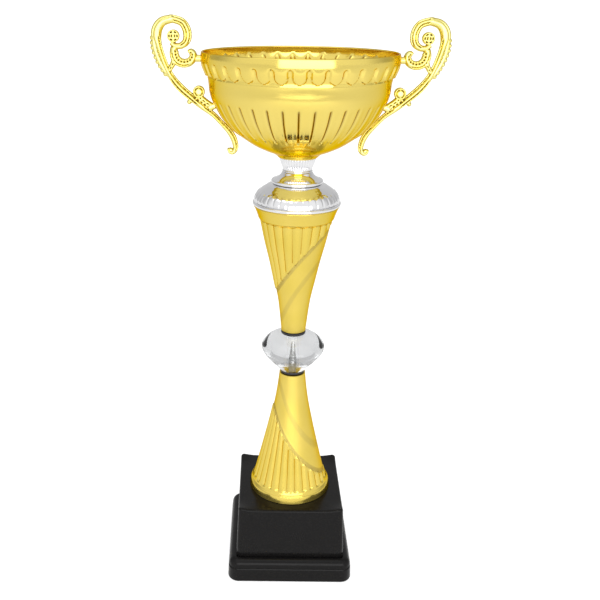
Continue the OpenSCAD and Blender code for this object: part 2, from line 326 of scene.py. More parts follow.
def mottled(name, scale, tones, rough, grain, **sockets):
    """A finish whose colour and roughness follow one noise of that scale, over a fine grain that
    is given as layers of (scale, detail, depth in metres)."""
    m = Finish(name, **sockets)
    patch = m.noise(scale, 4.0)
    m.set("Base Color", m.colors(patch, (0.3, tones[0]), (0.7, tones[1])))
    m.set("Roughness", m.between(patch, *rough))
    m.bump(*((m.noise(fine, detail), depth) for fine, detail, depth in grain))
    return m.made


def polished_gold():
    """Gold plate on spun sheet: faint spinning marks, warm patches, haze, and painted shade, brown, in
    the grooves.
    """
    m = Finish("polished_gold", Metallic=1.0, Specular_Tint=(0.86, 0.60, 0.14, 1))
    spun = m.noise(1.0, 4.0, m.round_axis(3.0, 900.0, 900.0))
    haze = m.noise(45.0, 4.0)
    warm = m.noise(18.0, 2.0)
    unshaded_gold = m.colors(warm, (0.35, (0.84, 0.66, 0.15)), (0.65, (0.88, 0.70, 0.18)))
    # Painted shade: where the hollow mark is high, the groove bottoms are darkened to brown
    m.set("Base Color", m.blend(m.mark("hollow"), unshaded_gold, (0.27, 0.17, 0.045, 1)))
    m.set("Roughness", m.math("ADD", m.between(spun, 0.0, 0.06), m.between(haze, 0.07, 0.14)))
    m.bump((spun, 0.0000025), (m.noise(160.0, 2.0), 0.00001))
    return m.made


def cast_gold():
    """Bright metallised casting: paler gold, painted shade in brown in the hollows and a trace of
    orange peel.
    """
    m = Finish("cast_gold", Metallic=1.0, Specular_Tint=(0.84, 0.70, 0.26, 1))
    patch = m.noise(60.0, 3.0)
    unshaded_gold = m.colors(patch, (0.3, (0.84, 0.73, 0.21)), (0.7, (0.90, 0.80, 0.29)))
    # Painted shade: the hollow mark darkens the casting's hollows to deep brown
    m.set("Base Color", m.blend(m.mark("hollow"), unshaded_gold, (0.11, 0.07, 0.02, 1)))
    m.set("Roughness", m.between(m.noise(240.0, 4.0), 0.12, 0.24))
    m.bump((m.noise(420.0, 2.0), 0.00002), (m.noise(1500.0, 3.0), 0.000004))
    return m.made


def satin_gold():
    """Metallised cone: glossy reeds, a brushed satin ground and fine hatching on engraved bands."""
    m = Finish("satin_gold", Metallic=1.0, Specular_Tint=(0.84, 0.58, 0.14, 1))
    satin, hatch = m.mark("satin"), m.mark("hatch")
    brushed = m.noise(1.0, 4.0, m.round_axis(420.0, 60.0, 55.0))
    patch = m.noise(30.0, 3.0)
    ground = m.colors(patch, (0.3, (0.78, 0.60, 0.11)), (0.7, (0.84, 0.65, 0.15)))
    m.set("Base Color", m.blend(m.math("MULTIPLY", hatch, 0.6), ground, (0.50, 0.39, 0.12, 1)))
    grain = m.between(brushed, 0.02, 0.10)
    m.set("Roughness", m.math("ADD", grain, m.math("ADD", m.math("MULTIPLY", satin, 0.17), 0.12)))
    lines = m.noise(1.0, 2.0, m.round_axis(90.0, 0.0, 2600.0))
    m.bump((m.math("MULTIPLY", brushed, satin), 0.00003),
           (m.math("MULTIPLY", lines, hatch), 0.00025))
    return m.made


def bright_chrome():
    """Chromed plastic: a near mirror with faint haze and tiny pits."""
    return mottled("bright_chrome", 70.0, [(0.80, 0.80, 0.81), (0.86, 0.86, 0.87)], (0.03, 0.10),
                   [(300.0, 2.0, 0.000008), (2500.0, 2.0, 0.000001)], Metallic=1.0)


def clear_acrylic():
    """Cast clear acrylic: polished, with slight flow waves and a few fine scratches."""
    m = Finish("clear_acrylic", IOR=1.49, Transmission_Weight=1.0)
    wave = m.noise(90.0, 2.0)
    m.set("Base Color", m.colors(wave, (0.3, (0.72, 0.73, 0.74)), (0.7, (0.78, 0.79, 0.80))))
    scratch = m.noise(1.0, 3.0, m.stretched(2500.0, 240.0, 900.0))
    m.set("Roughness", m.between(scratch, 0.0, 0.03, 0.45, 0.75))
    m.bump((wave, 0.00003))
    return m.made


def black_plastic():
    """Moulded gloss black: fingertip haze, fine scratches and a touch of dust."""
    m = Finish("black_plastic", Specular_IOR_Level=0.15)
    dust = m.noise(900.0, 5.0)
    m.set("Base Color", m.colors(dust, (0.45, (0.006, 0.0056, 0.0056)),
                                 (0.85, (0.014, 0.013, 0.0125))))
    haze = m.noise(38.0, 5.0)
    scratch = m.noise(1.0, 3.0, m.stretched(1500.0, 120.0, 500.0))
    m.set("Roughness", m.math("ADD", m.between(haze, 0.10, 0.24), m.between(scratch, 0.0, 0.05)))
    m.bump((m.noise(110.0, 2.0), 0.00003), (scratch, 0.0000015))
    return m.made


def black_rubber():
    """Smooth black gasket rubber with a matt bloom."""
    return mottled("black_rubber", 350.0, [(0.014, 0.014, 0.018), (0.028, 0.028, 0.034)],
                   (0.38, 0.62), [(2200.0, 3.0, 0.00001)])


def zinc_steel():
    """Bright zinc plate: mottled passivation and fine rolling marks."""
    return mottled("zinc_steel", 220.0, [(0.52, 0.52, 0.51), (0.68, 0.67, 0.63)], (0.20, 0.42),
                   [(1800.0, 3.0, 0.000006)], Metallic=1.0)


def screw_brass():
    """Plain brass screws, a little tarnished."""
    return mottled("screw_brass", 700.0, [(0.62, 0.42, 0.13), (0.82, 0.62, 0.24)], (0.18, 0.36),
                   [(3000.0, 2.0, 0.000004)], Metallic=1.0)


def white_plastic():
    """Unfinished moulded disc: off-white, with flow marks round its hole."""
    m = Finish("white_plastic")
    flow = m.noise(1.0, 3.0, m.round_axis(2.0, 700.0, 200.0))
    m.set("Base Color", m.colors(flow, (0.3, (0.72, 0.71, 0.65)), (0.7, (0.84, 0.83, 0.79))))
    m.set("Roughness", m.between(flow, 0.42, 0.60))
    m.bump((flow, 0.00001))
    return m.made


def felt():
    """Pressed green felt: matted fibres, with a soft sheen."""
    m = Finish("felt", Sheen_Weight=0.6, Sheen_Roughness=0.5)
    fibre = m.noise(1.0, 5.0, m.stretched(2600.0, 1400.0, 2000.0))
    clump = m.noise(500.0, 3.0)
    m.set("Base Color", m.colors(m.math("ADD", m.math("MULTIPLY", fibre, 0.6),
                                        m.math("MULTIPLY", clump, 0.4)),
                                 (0.35, (0.012, 0.055, 0.026)), (0.65, (0.045, 0.15, 0.075))))
    m.set("Roughness", m.between(clump, 0.85, 1.0))
    m.bump((fibre, 0.0002), (clump, 0.0003))
    return m.made


def hardboard():
    """Brown pressed board: short fibres and darker specks."""
    m = Finish("hardboard")
    fibre = m.noise(1.0, 5.0, m.stretched(1300.0, 300.0, 900.0))
    speck = m.cells(900.0)
    m.set("Base Color", m.blend(m.between(speck, 0.5, 0.0, 0.1, 0.4),
                                m.colors(fibre, (0.3, (0.22, 0.12, 0.06)), (0.7, (0.38, 0.23, 0.13))),
                                (0.10, 0.05, 0.025, 1)))
    m.set("Roughness", m.between(fibre, 0.6, 0.85))
    m.bump((fibre, 0.00006))
    return m.made


def ballast():
    """Cast grey ballast: sand, stones and air holes."""
    m = Finish("ballast")
    sand, stone = m.noise(700.0, 5.0), m.cells(260.0)
    m.set("Base Color", m.blend(m.between(stone, 0.0, 0.7, 0.2, 0.6),
                                m.colors(sand, (0.3, (0.30, 0.29, 0.27)), (0.7, (0.50, 0.49, 0.46))),
                                (0.26, 0.24, 0.22, 1)))
    m.set("Roughness", m.between(sand, 0.75, 0.98))
    m.bump((sand, 0.0002), (stone, 0.0003))
    return m.made


# ---------- cup

# Outside of the cup as (fraction of rim radius, fraction of cup height below
# the rim), from the rim to the foot
CUP_CURVE = [
    (0.993, 0.012), (0.998, 0.050), (0.994, 0.098), (0.974, 0.155), (0.949, 0.210), (0.927, 0.258),
    (0.920, 0.305), (0.915, 0.360), (0.902, 0.412), (0.868, 0.490), (0.797, 0.610), (0.698, 0.722),
    (0.592, 0.796), (0.470, 0.873), (0.345, 0.930), (0.262, 0.960), (0.218, 0.990),
]


def cup_side():
    """Outside of the cup from rim to foot, finely divided."""
    return smooth([(r * RIM_R, RIM - h * CUP_H) for r, h in CUP_CURVE], 16)


def groove_share(angle, radius, height):
    """Depth, from 0 to 1, of the grooves that part the tongues and narrow downwards."""
    below = RIM - height
    groove_top, groove_end = 34.2, 56.0
    along = np.clip((below - groove_top) / (groove_end - groove_top), 0, 1)
    half = 1.75 - 0.75 * along
    past = np.maximum(groove_top - below, 0) + 0.45 * np.maximum(below - groove_end, 0)
    return np.clip(1 - np.hypot(radius * nearest(angle, TONGUES, CUP_TURN), past) / half, 0, 1)


def cup_relief(angle, radius, height):
    """Pressed pattern of the cup: a band of hanging lobes, a line, and tongues parted by grooves."""
    below = RIM - height
    # Lobes hang from the plain upper band; the sheet between them is set back
    band_edge, lobe_middle, lobe_r, lobe_rise = 7.3, 12.1, 4.6, 1.5
    across = radius * nearest(angle, LOBES, CUP_TURN)
    lobe = np.hypot(across, np.maximum(below - lobe_middle, 0)) - lobe_r
    raised = 1 - ramp(soft_min(below - band_edge, lobe, 2.2), -0.85, 0.45)
    fade = 1 - ramp(below, 16.0, 18.4)
    pillow = 0.35 * ramp(below, 6.5, 10) * np.clip(1 - (across / lobe_r) ** 2, 0, 1) * raised
    depth = lobe_rise * (1 - raised) * fade - pillow * fade
    # A fine line closes the band
    line_at, line_half = 18.7, 0.5
    depth += 0.35 * np.clip(1 - np.abs(below - line_at) / line_half, 0, 1)
    # Tongues: shallow convex panels between the grooves
    side = radius * nearest(angle, TONGUES, CUP_TURN)
    depth += 1.2 * groove_share(angle, radius, height) ** 1.1
    swell = np.clip(1 - np.abs(side) / (0.5 * radius * TAU / TONGUES), 0, 1)
    depth += 0.22 * (1 - swell) ** 2 * ramp(below, 31, 36) * (1 - ramp(below, 55, 60))
    return depth


def make_cup():
    """One pressed sheet: wall, rolled rim and drilled foot, with the pattern reversed inside."""
    def wall_step(height):
        below = RIM - height
        fine = np.where((below > 5) & (below < 19.5), 0.72, 1.5)
        return np.where((below > 31) & (below < 59), 1.15, fine)

    side = cup_side()
    outside = respaced(side, wall_step)
    inner = offset(side, -SHEET_T)
    inner = np.column_stack([inner, side[:, 1]])
    keep = inner[:, 1] > CUP_FOOT + SHEET_T + 0.4
    inside = respaced(inner[keep], lambda height: 1.8 * wall_step(height))
    bead_r = 0.8
    bead = arc(side[0, 0] - bead_r, RIM - bead_r, bead_r, 260, -10, 14)
    foot_r = side[-1, 0] - 0.4
    floor = CUP_FOOT + SHEET_T
    foot = np.vstack([
        arc(foot_r - 0.5, CUP_FOOT + 0.5, 0.5, 0, -90, 4),
        [(foot_r - 4, CUP_FOOT), (ROD_HOLE_R + 2, CUP_FOOT)],
        [(ROD_HOLE_R, CUP_FOOT), (ROD_HOLE_R, floor)],
        [(ROD_HOLE_R + 2, floor), (foot_r - 4, floor), (foot_r - 1.6, floor)],
    ])
    plain = lambda points: np.column_stack([points, np.zeros(len(points)), points[:, 1]])
    outline = np.vstack([
        np.column_stack([outside, np.ones(len(outside)), outside[:, 1]]),
        plain(foot),
        np.column_stack([inside[:, :2], -np.ones(len(inside)), inside[:, 2]])[::-1],
        plain(bead),
    ])

    # Where the bottoms of the grooves get painted shade, in brown
    def hollow(angle, height):
        radius = np.interp(height, side[::-1, 1], side[::-1, 0])
        return ramp(groove_share(angle, radius, height), 0.42, 0.9)

    cup = lathe("cup", outline, TONGUES * 16, cup_relief, {"hollow": hollow}, corner=40)
    place(cup, ["bowl"], polished_gold())


# ---------- stem

def reed_relief(edge, reed_side, count):
    """Reeds on one side of a slanting edge, with tips that run a little past it, and fine strokes
    beside it. The reeds stand proud of the plain ground. edge(angle) is the edge's height."""
    proud, groove = 0.7, 1.25

    def relief(angle, radius, height):
        over = (height - edge(angle)) * reed_side
        swell = np.abs(nearest(angle, count)) * count / math.pi
        tip = 4.2 * (1 - swell**1.3) - 2.4
        reeded = ramp(over + tip, -0.6, 0.9)
        strip = ramp(over, -4.2, -3.4) * (1 - ramp(over, -1.2, -0.4))
        strokes = np.abs(np.sin(angle * 63 + height * 1.6 * reed_side))
        return (groove * swell**2.0 * reeded + proud * (1 - reeded)
                + 0.18 * strip * strokes * (1 - reeded))
    return relief


def reed_marks(edge, reed_side):
    """Where a cone is satin and where it is hatched: along the edge, and fainter far beyond it."""
    far_gap = 27.0

    def satin(angle, height):
        return 1 - ramp((height - edge(angle)) * reed_side, -1.5, 0.5)

    def hatch(angle, height):
        over = (height - edge(angle)) * reed_side
        near = ramp(over, -5.6, -4.4) * (1 - ramp(over, -1.0, 0.0))
        from_far = over + far_gap
        far = ramp(from_far, -5, -2) * (1 - ramp(from_far, 2, 5))
        return np.clip(near + 0.55 * far, 0, 1)
    return {"satin": satin, "hatch": hatch}


def cone_outline(side, weight_of):
    """Closed outline of a hollow cone from its side, narrow end first. weight_of(height) scales
    its pattern. The inside is plain, so it takes every sixth point."""
    wall, web = 1.8, 3.0
    inner = np.array([(r - wall, z) for r, z in side[::6] if abs(z - side[0][1]) > web])
    narrow_z = side[0][1]
    web_z = narrow_z + math.copysign(web, side[-1][1] - narrow_z)
    outer = np.column_stack([side, weight_of(side[:, 1]), side[:, 1]])
    rest = np.vstack([inner[::-1], [(inner[0][0], web_z), (ROD_HOLE_R, web_z), (ROD_HOLE_R, narrow_z)]])
    return np.vstack([outer, np.column_stack([rest, np.zeros(len(rest)), rest[:, 1]])])


def make_upper_cone(finish):
    low, high = span("upper_cone")
    h, top_r = high - low, reach("upper_cone")
    side = smooth([(10.2, low), (13, low + 0.24 * h), (16.5, low + 0.41 * h), (20, low + 0.57 * h),
                   (24, low + 0.73 * h), (27.3, low + 0.885 * h)], 12)
    band = smooth([(26.9, low + 0.891 * h), (28.5, low + 0.903 * h), (29.0, low + 0.918 * h),
                   (30.3, low + 0.953 * h), (top_r - 0.5, high - 0.9)], 6)
    side = respaced(np.vstack([side, band]), 0.52)
    side = np.vstack([[(side[0][0] - 0.8, low)], side[1:], arc(top_r - 0.8, high - 0.7, 0.7, 0, 90, 4)])
    edge = lambda angle: low + 62.5 + 26 * np.sin(angle)
    weight = lambda z: 1 - ramp(z, high - 11.4, high - 10.4)
    piece = lathe("upper_cone_reeded", cone_outline(side, weight), UPPER_REEDS * 16,
                  reed_relief(edge, 1, UPPER_REEDS), reed_marks(edge, 1))
    place(piece, ["upper_cone"], finish)


def make_lower_cone(finish):
    low, high = span("lower_cone")
    h, flange_r, flange_h = high - low, reach("lower_cone"), 6.0
    side = smooth([(10.9, high), (13.7, high - 0.21 * h), (18.1, high - 0.42 * h),
                   (22.4, high - 0.6 * h), (27.4, high - 0.8 * h), (30.6, low + flange_h + 3),
                   (31.6, low + flange_h + 0.9)], 12)
    side = respaced(side, 0.55)
    side = np.vstack([
        [(side[0][0] - 0.7, high)], side[1:],
        arc(flange_r - 1.5, low + flange_h - 0.6, 0.6, 85, 10, 4),
        [(flange_r - 0.45, low + 3), (flange_r, low + 0.4), (flange_r - 0.3, low)],
    ])
    edge = lambda angle: low + 43.5 - 30 * np.sin(angle)
    weight = lambda z: ramp(z, low + flange_h + 2.6, low + flange_h + 4.2)
    piece = lathe("lower_cone_reeded", cone_outline(side, weight), LOWER_REEDS * 16,
                  reed_relief(edge, -1, LOWER_REEDS), reed_marks(edge, -1))
    place(piece, ["lower_cone"], finish)


def make_gasket(node):
    low, high = span(node)
    r, soft = reach(node), 0.6
    outline = np.vstack([
        [(ROD_HOLE_R, low)], arc(r - soft, low + soft, soft, -90, 0, 5),
        arc(r - soft, high - soft, soft, 0, 90, 5), [(ROD_HOLE_R, high)],
    ])
    place(lathe(node + "_ring", outline, 64), [node], RUBBER)


def make_knop():
    """Solid clear saucer with a rounded equator, drilled for the rod."""
    low, high = span("knop")
    h, r = high - low, reach("knop")
    side = smooth([(10.1, low + 0.1), (0.576 * r, low + 0.155 * h), (0.772 * r, low + 0.32 * h),
                   (0.944 * r, low + 0.495 * h), (r, low + 0.62 * h), (0.968 * r, low + 0.73 * h),
                   (0.836 * r, low + 0.85 * h), (0.64 * r, low + 0.95 * h), (10, high - 0.1)], 10)
    outline = np.vstack([
        [(ROD_HOLE_R, low), (9.7, low)], respaced(side, 0.8), [(9.6, high), (ROD_HOLE_R, high)],
    ])
    place(lathe("clear_knop", outline, 160), ["knop"], clear_acrylic())


def make_dome(finish):
    """Chromed cap: a bead, a groove, raised lobes round the skirt and a smooth crown."""
    low, high = span("dome")
    r, bead_r = reach("dome"), 1.25
    span_r, wall = r - 2.3, 1.4
    end = math.degrees(math.acos((19.0 - 1.3) / span_r))

    def crown(shrink, steps):
        a = np.radians(np.linspace(0, end, steps))
        top = (high - low - 3.3) / math.sin(math.radians(end))
        return np.column_stack([1.3 + (span_r - shrink) * np.cos(a),
                                low + 3.3 + (top - shrink) * np.sin(a)])

    outer, inner = crown(0, 40), crown(wall, 14)
    outline = np.vstack([
        arc(r - bead_r, low + bead_r, bead_r, -90, 78, 10),
        [(r - 2.0, low + 2.7)], outer,
        [(15, high), (ROD_HOLE_R, high), (ROD_HOLE_R, high - wall)],
        inner[::-1], [(inner[0][0], low)],
    ])

    def relief(angle, radius, height):
        across = radius * nearest(angle, TONGUES)
        middle, half, rise_of = low + 8.6, 2.3, 0.3
        lobe = np.hypot(across, np.maximum(height - middle, 0)) - half
        raised = 1 - ramp(lobe, -0.8, 0.5)
        outside = (radius > inner[0][0] + 0.2) | (height > low + 5)
        skirt = ramp(height, low + 3.3, low + 3.9)
        on_top = 1 - ramp(height, high - 2.5, high - 1.0)
        return rise_of * (1 - raised) * skirt * on_top * outside

    marks = len(outline) - len(inner) - 1
    weights = np.r_[np.ones(marks), np.zeros(len(outline) - marks)]
    outline = np.column_stack([outline, weights, outline[:, 1]])
    place(lathe("lobed_dome", outline, TONGUES * 12, relief), ["dome"], finish)


def make_collar(finish):
    """Chromed flare with a bright bead at its foot."""
    low, high = span("collar")
    h, foot, bead_r, wall = high - low, reach("collar"), 1.45, 1.3
    side = smooth([(foot - 1.35, low + 0.33 * h), (16.2, low + 0.41 * h), (14.3, low + 0.54 * h),
                   (12.5, low + 0.73 * h), (11.3, low + 0.96 * h)], 8)
    outline = np.vstack([
        arc(foot - bead_r, low + bead_r, bead_r, -90, 84, 12),
        side, [(11.0, high), (ROD_HOLE_R, high), (ROD_HOLE_R, high - wall)],
        [(9.6, high - wall), (11.4, low + 0.62 * h), (14.6, low + 0.24 * h), (15.6, low)],
    ])
    place(lathe("flared_collar", outline, 144), ["collar"], finish)


def make_neck(finish):
    """Chromed spacer under the cup: a small lip, then shallow flutes up to its spread top."""
    low, high = span("neck")
    h, wall = high - low, 1.6
    side = smooth([(11.0, low + 0.12 * h), (10.8, low + 0.2 * h), (12.1, low + 0.5 * h),
                   (13.2, low + 0.8 * h), (14.0, high - 0.4)], 10)
    lip = arc(10.75, low + 0.55, 0.5, -90, 80, 6)
    outline = np.vstack([
        [(8.9, low)], lip, side, [(13.7, high), (ROD_HOLE_R, high)],
        [(ROD_HOLE_R, high - 2), (10.5 - wall, high - 2)],
    ])

    def relief(angle, radius, height):
        swell = np.abs(nearest(angle, TONGUES)) * TONGUES / math.pi
        reach_of = ramp(height, low + 1.8, low + 2.8) * (1 - ramp(height, high - 0.9, high - 0.3))
        return 0.5 * swell**2 * reach_of * (radius > 10)

    place(lathe("fluted_neck", outline, TONGUES * 8, relief), ["neck"], finish)


def make_rod(finish):
    """Tie rod with its thread: one start, 1 mm pitch."""
    low, high = span("tie_rod")
    crest, pitch, around = reach("tie_rod"), 1.0, 24
    root = crest - 0.55 * pitch
    rows = np.arange(low, high + 0.01, pitch / 4)
    angle = np.linspace(0, TAU, around, endpoint=False)
    turn = (rows[:, None] / pitch - angle[None, :] / TAU) % 1
    flank = np.clip(np.abs(turn - 0.5) * 2.6 - 0.3, 0, 1)
    end = np.minimum(rows - low, high - rows)[:, None]
    radius = np.minimum(root + (crest - root) * flank, crest - 0.7 + end)
    rings = turned(radius, rows[:, None], angle)
    rod = build("threaded_rod", rings, ring_faces(len(rows), around, False), corner=80)
    place(rod, ["tie_rod"], finish)


def make_nut(name, node, finish):
    """Hexagon nut with both faces chamfered."""
    low, high = span(node)
    corner_r, bore, around = reach(node), ROD_HOLE_R - 0.25, 72
    angle = np.linspace(0, TAU, around, endpoint=False)
    flat = corner_r * math.cos(math.pi / 6)
    hexagon = flat / np.cos(nearest(angle, 6, math.pi / 6 + math.pi / 2))
    chamfer, face_r = 0.5, flat * 0.97
    rows = [(np.minimum(hexagon, limit), z) for limit, z in
            [(face_r, low), (corner_r, low + chamfer), (corner_r, high - chamfer), (face_r, high)]]
    rows += [(np.full(around, bore + inset), z) for inset, z in
             [(0.4, high), (0, high - 0.4), (0, low + 0.4), (0.4, low)]]
    rings = np.array([turned(r, z, angle) for r, z in rows])
    nut = build(name, rings, ring_faces(len(rows), around), corner=25)
    place(nut, [node], finish)


def make_washer(name, node, finish):
    low, high = span(node)
    r, soft = reach(node), 0.3
    outline = np.vstack([
        [(ROD_HOLE_R, low + soft), (ROD_HOLE_R + soft, low)],
        arc(r - soft, low + soft, soft, -90, 0, 4),
        arc(r - soft, high - soft, soft, 0, 90, 4),
        [(ROD_HOLE_R + soft, high), (ROD_HOLE_R, high - soft)],
    ])
    place(lathe(name, outline, 72), [node], finish)


# ---------- plinth

def square_ring(half, corner, side_steps=18, corner_steps=16):
    """Points round a rounded square, the same number at any size: a quarter turned four times."""
    middle = half - corner
    a = np.radians(np.linspace(0, 90, corner_steps + 1))
    t = np.linspace(0, 1, side_steps + 2)[1:-1]
    quarters = [np.vstack([
        middle + corner * np.column_stack([np.cos(a), np.sin(a)]),
        np.column_stack([middle * (1 - 2 * t), half + 0 * t]),
    ])]
    for _ in range(3):
        quarters.append(np.column_stack([-quarters[-1][:, 1], quarters[-1][:, 0]]))
    return np.vstack(quarters)


def make_plinth():
    """Moulded two-step plinth: hollow, with a grooved step, a leaning block and raised top corners."""
    low, top = span("plinth_shell")
    half = reach("plinth_shell")
    step_top, lean, wall = 20.0, math.tan(math.radians(2.28)), 2.5
    block_foot, edge, shoulder, step_corner = 44.25, 1.8, 6.0, 9.0
    at_step = lambda z: half - z * lean
    at_block = lambda z: block_foot - (z - step_top) * lean

    def inset(points, first_half, first_corner):
        """Rows whose corner radius shrinks as they move in."""
        return [(x, z, max(first_corner - (first_half - x), 0.8)) for x, z in points]

    groove = 0.62 * step_top
    step = np.vstack([
        arc(half - edge, edge, edge, -90, 0, 6),
        [(at_step(6), 6), (at_step(groove - 1.1), groove - 1.1)],
        [(at_step(groove) - 0.75, groove - 0.35), (at_step(groove) - 0.8, groove)],
        [(at_step(groove) - 0.2, groove + 0.8)],
        arc(at_step(step_top) - shoulder, step_top - shoulder, shoulder, 0, 90, 12),
    ])
    block_top = at_block(top)
    block = np.vstack([
        [(block_foot + 0.1, step_top - 0.7), (block_foot - 0.7, step_top - 0.9)],
        [(block_foot - 0.5, step_top + 0.3), (at_block(step_top + 1.2), step_top + 1.2)],
        [(at_block(30), 30), (at_block(45), 45), (at_block(58), 58)],
        arc(block_top - edge, top - edge, edge, 0, 90, 8),
    ])
    rows = inset(step, half, step_corner)
    rows += [(x, z, 3.2) for x, z in block[:7]] + inset(block[7:], block_top, 3.2)
    # The top plate dips a little from its edge to the hole
    for i, x in enumerate([39.5, 38.2, 36.5, 34.5, 28, 18, 9]):
        rows.append((x, top - 0.02 * i, 0.8 + 0.3 * i))
    # Inside: the block's cavity, a ledge under the step, and a recess for board and felt
    ledge, recess = 44.5, 47.5
    ledge_z, recess_z = 17.5, 4.0
    inner = [(block_top - wall, top - wall, 3), (block_top - wall, ledge_z, 3), (ledge, ledge_z, 6),
             (ledge, recess_z, 6), (recess, recess_z, 6), (recess, low, 6),
             (half - edge - 0.8, low, step_corner - 2.6)]
    rings = []
    for x, z, corner in rows + inner:
        flat = square_ring(x, corner)
        rings.append(np.column_stack([flat, np.full(len(flat), z)]))
    directions = np.arctan2(rings[0][:, 1], rings[0][:, 0])
    hole = np.column_stack([ROD_HOLE_R * np.cos(directions), ROD_HOLE_R * np.sin(directions)])
    for z in (top - wall, top):
        rings.insert(len(rows), np.column_stack([hole, np.full(len(hole), z)]))
    rings = np.array(rings)
    # The four top corners stand slightly proud of the sides between them
    hump, spread = 1.7, 5.5
    x, y, z = np.moveaxis(rings, -1, 0)
    away = (block_top - np.abs(x)) ** 2 + (block_top - np.abs(y)) ** 2
    lift = hump * np.exp(-away / (2 * spread**2)) * ramp(z, top - 6, top - 1)
    rings[..., 2] += lift
    plinth = build("stepped_plinth", rings, ring_faces(len(rings), rings.shape[1]), corner=42)
    place(plinth, ["plinth_shell"], black_plastic())


# ---------- handles

# Screws of a handle: distance below the rim, tilt below level, boss length
SCREW_SEATS = [(5.2, 0.0, 5.0), (37.4, 25.0, 5.0)]
# Straps of the right handle: (distance from the cup's axis, height above the
# rim, width). The main strap rises from the end curl to the top scroll.
MAIN_STRAP = [
    (51.0, -68.0, 1.6), (50.0, -70.3, 2.4), (47.9, -70.9, 3.2), (46.0, -69.0, 3.8),
    (45.6, -65.6, 4.2), (47.2, -60.2, 4.6), (50.4, -55.2, 4.3), (55.3, -50.1, 3.7),
    (61.4, -43.9, 3.8), (70.2, -37.7, 4.3), (78.0, -31.2, 5.4), (84.2, -25.8, 5.6),
    (89.3, -20.0, 5.0), (92.4, -14.8, 4.2), (94.9, -9.4, 4.0), (97.0, -3.4, 4.0),
    (98.9, 2.6, 4.6), (100.6, 9.0, 7.2), (99.6, 14.6, 7.4), (95.8, 19.1, 6.4), (89.2, 20.9, 5.4),
]
TOP_SCROLL = [
    (90.8, 20.8, 5.4), (89.2, 20.9, 5.4), (82.6, 18.8, 5.6), (79.4, 14.0, 6.0), (78.9, 8.8, 5.9),
    (80.3, 5.4, 5.2), (83.7, 3.1, 4.4), (87.4, 3.1, 3.8), (90.4, 5.2, 3.4),
]
LOWER_SCROLL = [
    (88.4, 2.0, 5.0), (88.7, -2.4, 6.0), (87.2, -6.4, 6.0), (84.0, -8.5, 5.7), (80.2, -8.8, 5.4),
    (76.9, -7.4, 5.2), (74.9, -4.6, 4.8), (75.0, -1.8, 4.2), (76.8, -0.4, 3.6), (78.4, -1.2, 2.6),
]
TAIL_LEAF = [(88.0, -5.0, 4.4), (89.7, -9.4, 3.8), (92.4, -13.8, 3.0)]
WALL_LEAF = [(72.5, -30.5, 5.0), (68.4, -33.8, 4.4), (64.5, -36.4, 4.0), (60.0, -38.6, 3.2)]
# Leaf outside the upper strap, from its tip down
OUTER_LEAF = [
    (102.6, 9.4, 2.0), (102.5, 6.2, 3.0), (101.9, 1.6, 3.6), (100.4, -3.6, 3.6), (98.2, -8.8, 3.4),
    (95.4, -13.6, 3.0), (92.8, -17.4, 2.2),
]


def screw_axis(below, tilt):
    """Where a screw leaves the cup on the right, and its direction outwards, as x, z, (x, z)."""
    side = cup_side()[::-1]
    z = RIM - below
    a = math.radians(tilt)
    return float(np.interp(z, side[:, 1], side[:, 0])), z - RIM, (math.cos(a), -math.sin(a))


def strap_solid(path, thick, grooves=()):
    """Swept bar with rounded faces and grooves along them, as (points, faces). Each groove is (place
    across, from -1 to 1; half width; depth; first share; last share; number of pits or 0)."""
    line = respaced(smooth(path, 8), 0.5)
    ahead = headings(line)
    side = np.column_stack([-ahead[:, 1], ahead[:, 0]])
    across = np.sin(np.radians(np.linspace(-90, 90, 37)))
    upper = (1 - np.abs(across) ** 2.3) ** 0.5
    u = np.r_[across, across[-2:0:-1]]
    v = np.r_[upper, -upper[-2:0:-1]]
    share = np.linspace(0, 1, len(line))[:, None]
    half_width = line[:, 2:3] / 2
    depth = np.zeros((len(line), len(u)))
    for at, half, cut, first, last, pits in grooves:
        on = ramp(share, first, first + 0.03) * (1 - ramp(share, last - 0.03, last))
        if pits:
            on = on * (0.5 - 0.5 * np.cos(TAU * pits * (share - first) / (last - first)))
        depth = np.maximum(depth, on * cut * np.exp(-((u - at) * half_width / half) ** 2))
    y = v * thick / 2 - np.sign(v) * depth * (np.abs(v) > 0.3)
    rings = np.stack([line[:, :1] + side[:, :1] * u * half_width, y,
                      line[:, 1:2] + side[:, 1:] * u * half_width], -1)
    return rings.reshape(-1, 3), ring_faces(len(line), len(u), False)


def button_solid(x, z, radius, thick, cuts=()):
    """Round boss about the Y axis, as (points, faces). Its ring grooves are (radius, half width,
    depth, number of pits or 0)."""
    soft = min(1.1, thick / 3)
    a = np.linspace(0, TAU, 60, endpoint=False)
    flat = np.linspace(radius - soft, 0.15, max(4, int(radius / 0.3)))[:, None]
    cut = sum((deep * np.exp(-((flat - at) / half) ** 2) * (0.5 + 0.5 * np.cos(pits * a))
               for at, half, deep, pits in cuts), 0 * a)
    edge = arc(radius - soft, thick / 2 - soft, soft, 0, 90, 5)[:-1]
    r = np.vstack([edge[:, :1] + 0 * a, flat + 0 * a])
    y = np.vstack([edge[:, 1:] + 0 * a, thick / 2 - cut + 0 * flat])
    r, y = np.vstack([r[::-1], r]), np.vstack([-y[::-1], y])
    rings = np.stack([x + r * np.cos(a), y, z + r * np.sin(a)], -1)
    return rings.reshape(-1, 3), ring_faces(len(rings), len(a), False)


def ball_solid(x, z, radius, thick):
    """Small ellipsoid, as (points, faces): radius in the handle's plane, thick out of it."""
    a = np.linspace(0, TAU, 16, endpoint=False)
    rings = []
    for b in np.radians(np.linspace(-84, 84, 9)):
        rings.append(np.column_stack([x + radius * math.cos(b) * np.cos(a),
                                      thick * math.cos(b) * np.sin(a),
                                      np.full(16, z + radius * math.sin(b))]))
    return np.vstack(rings), ring_faces(9, 16, False)


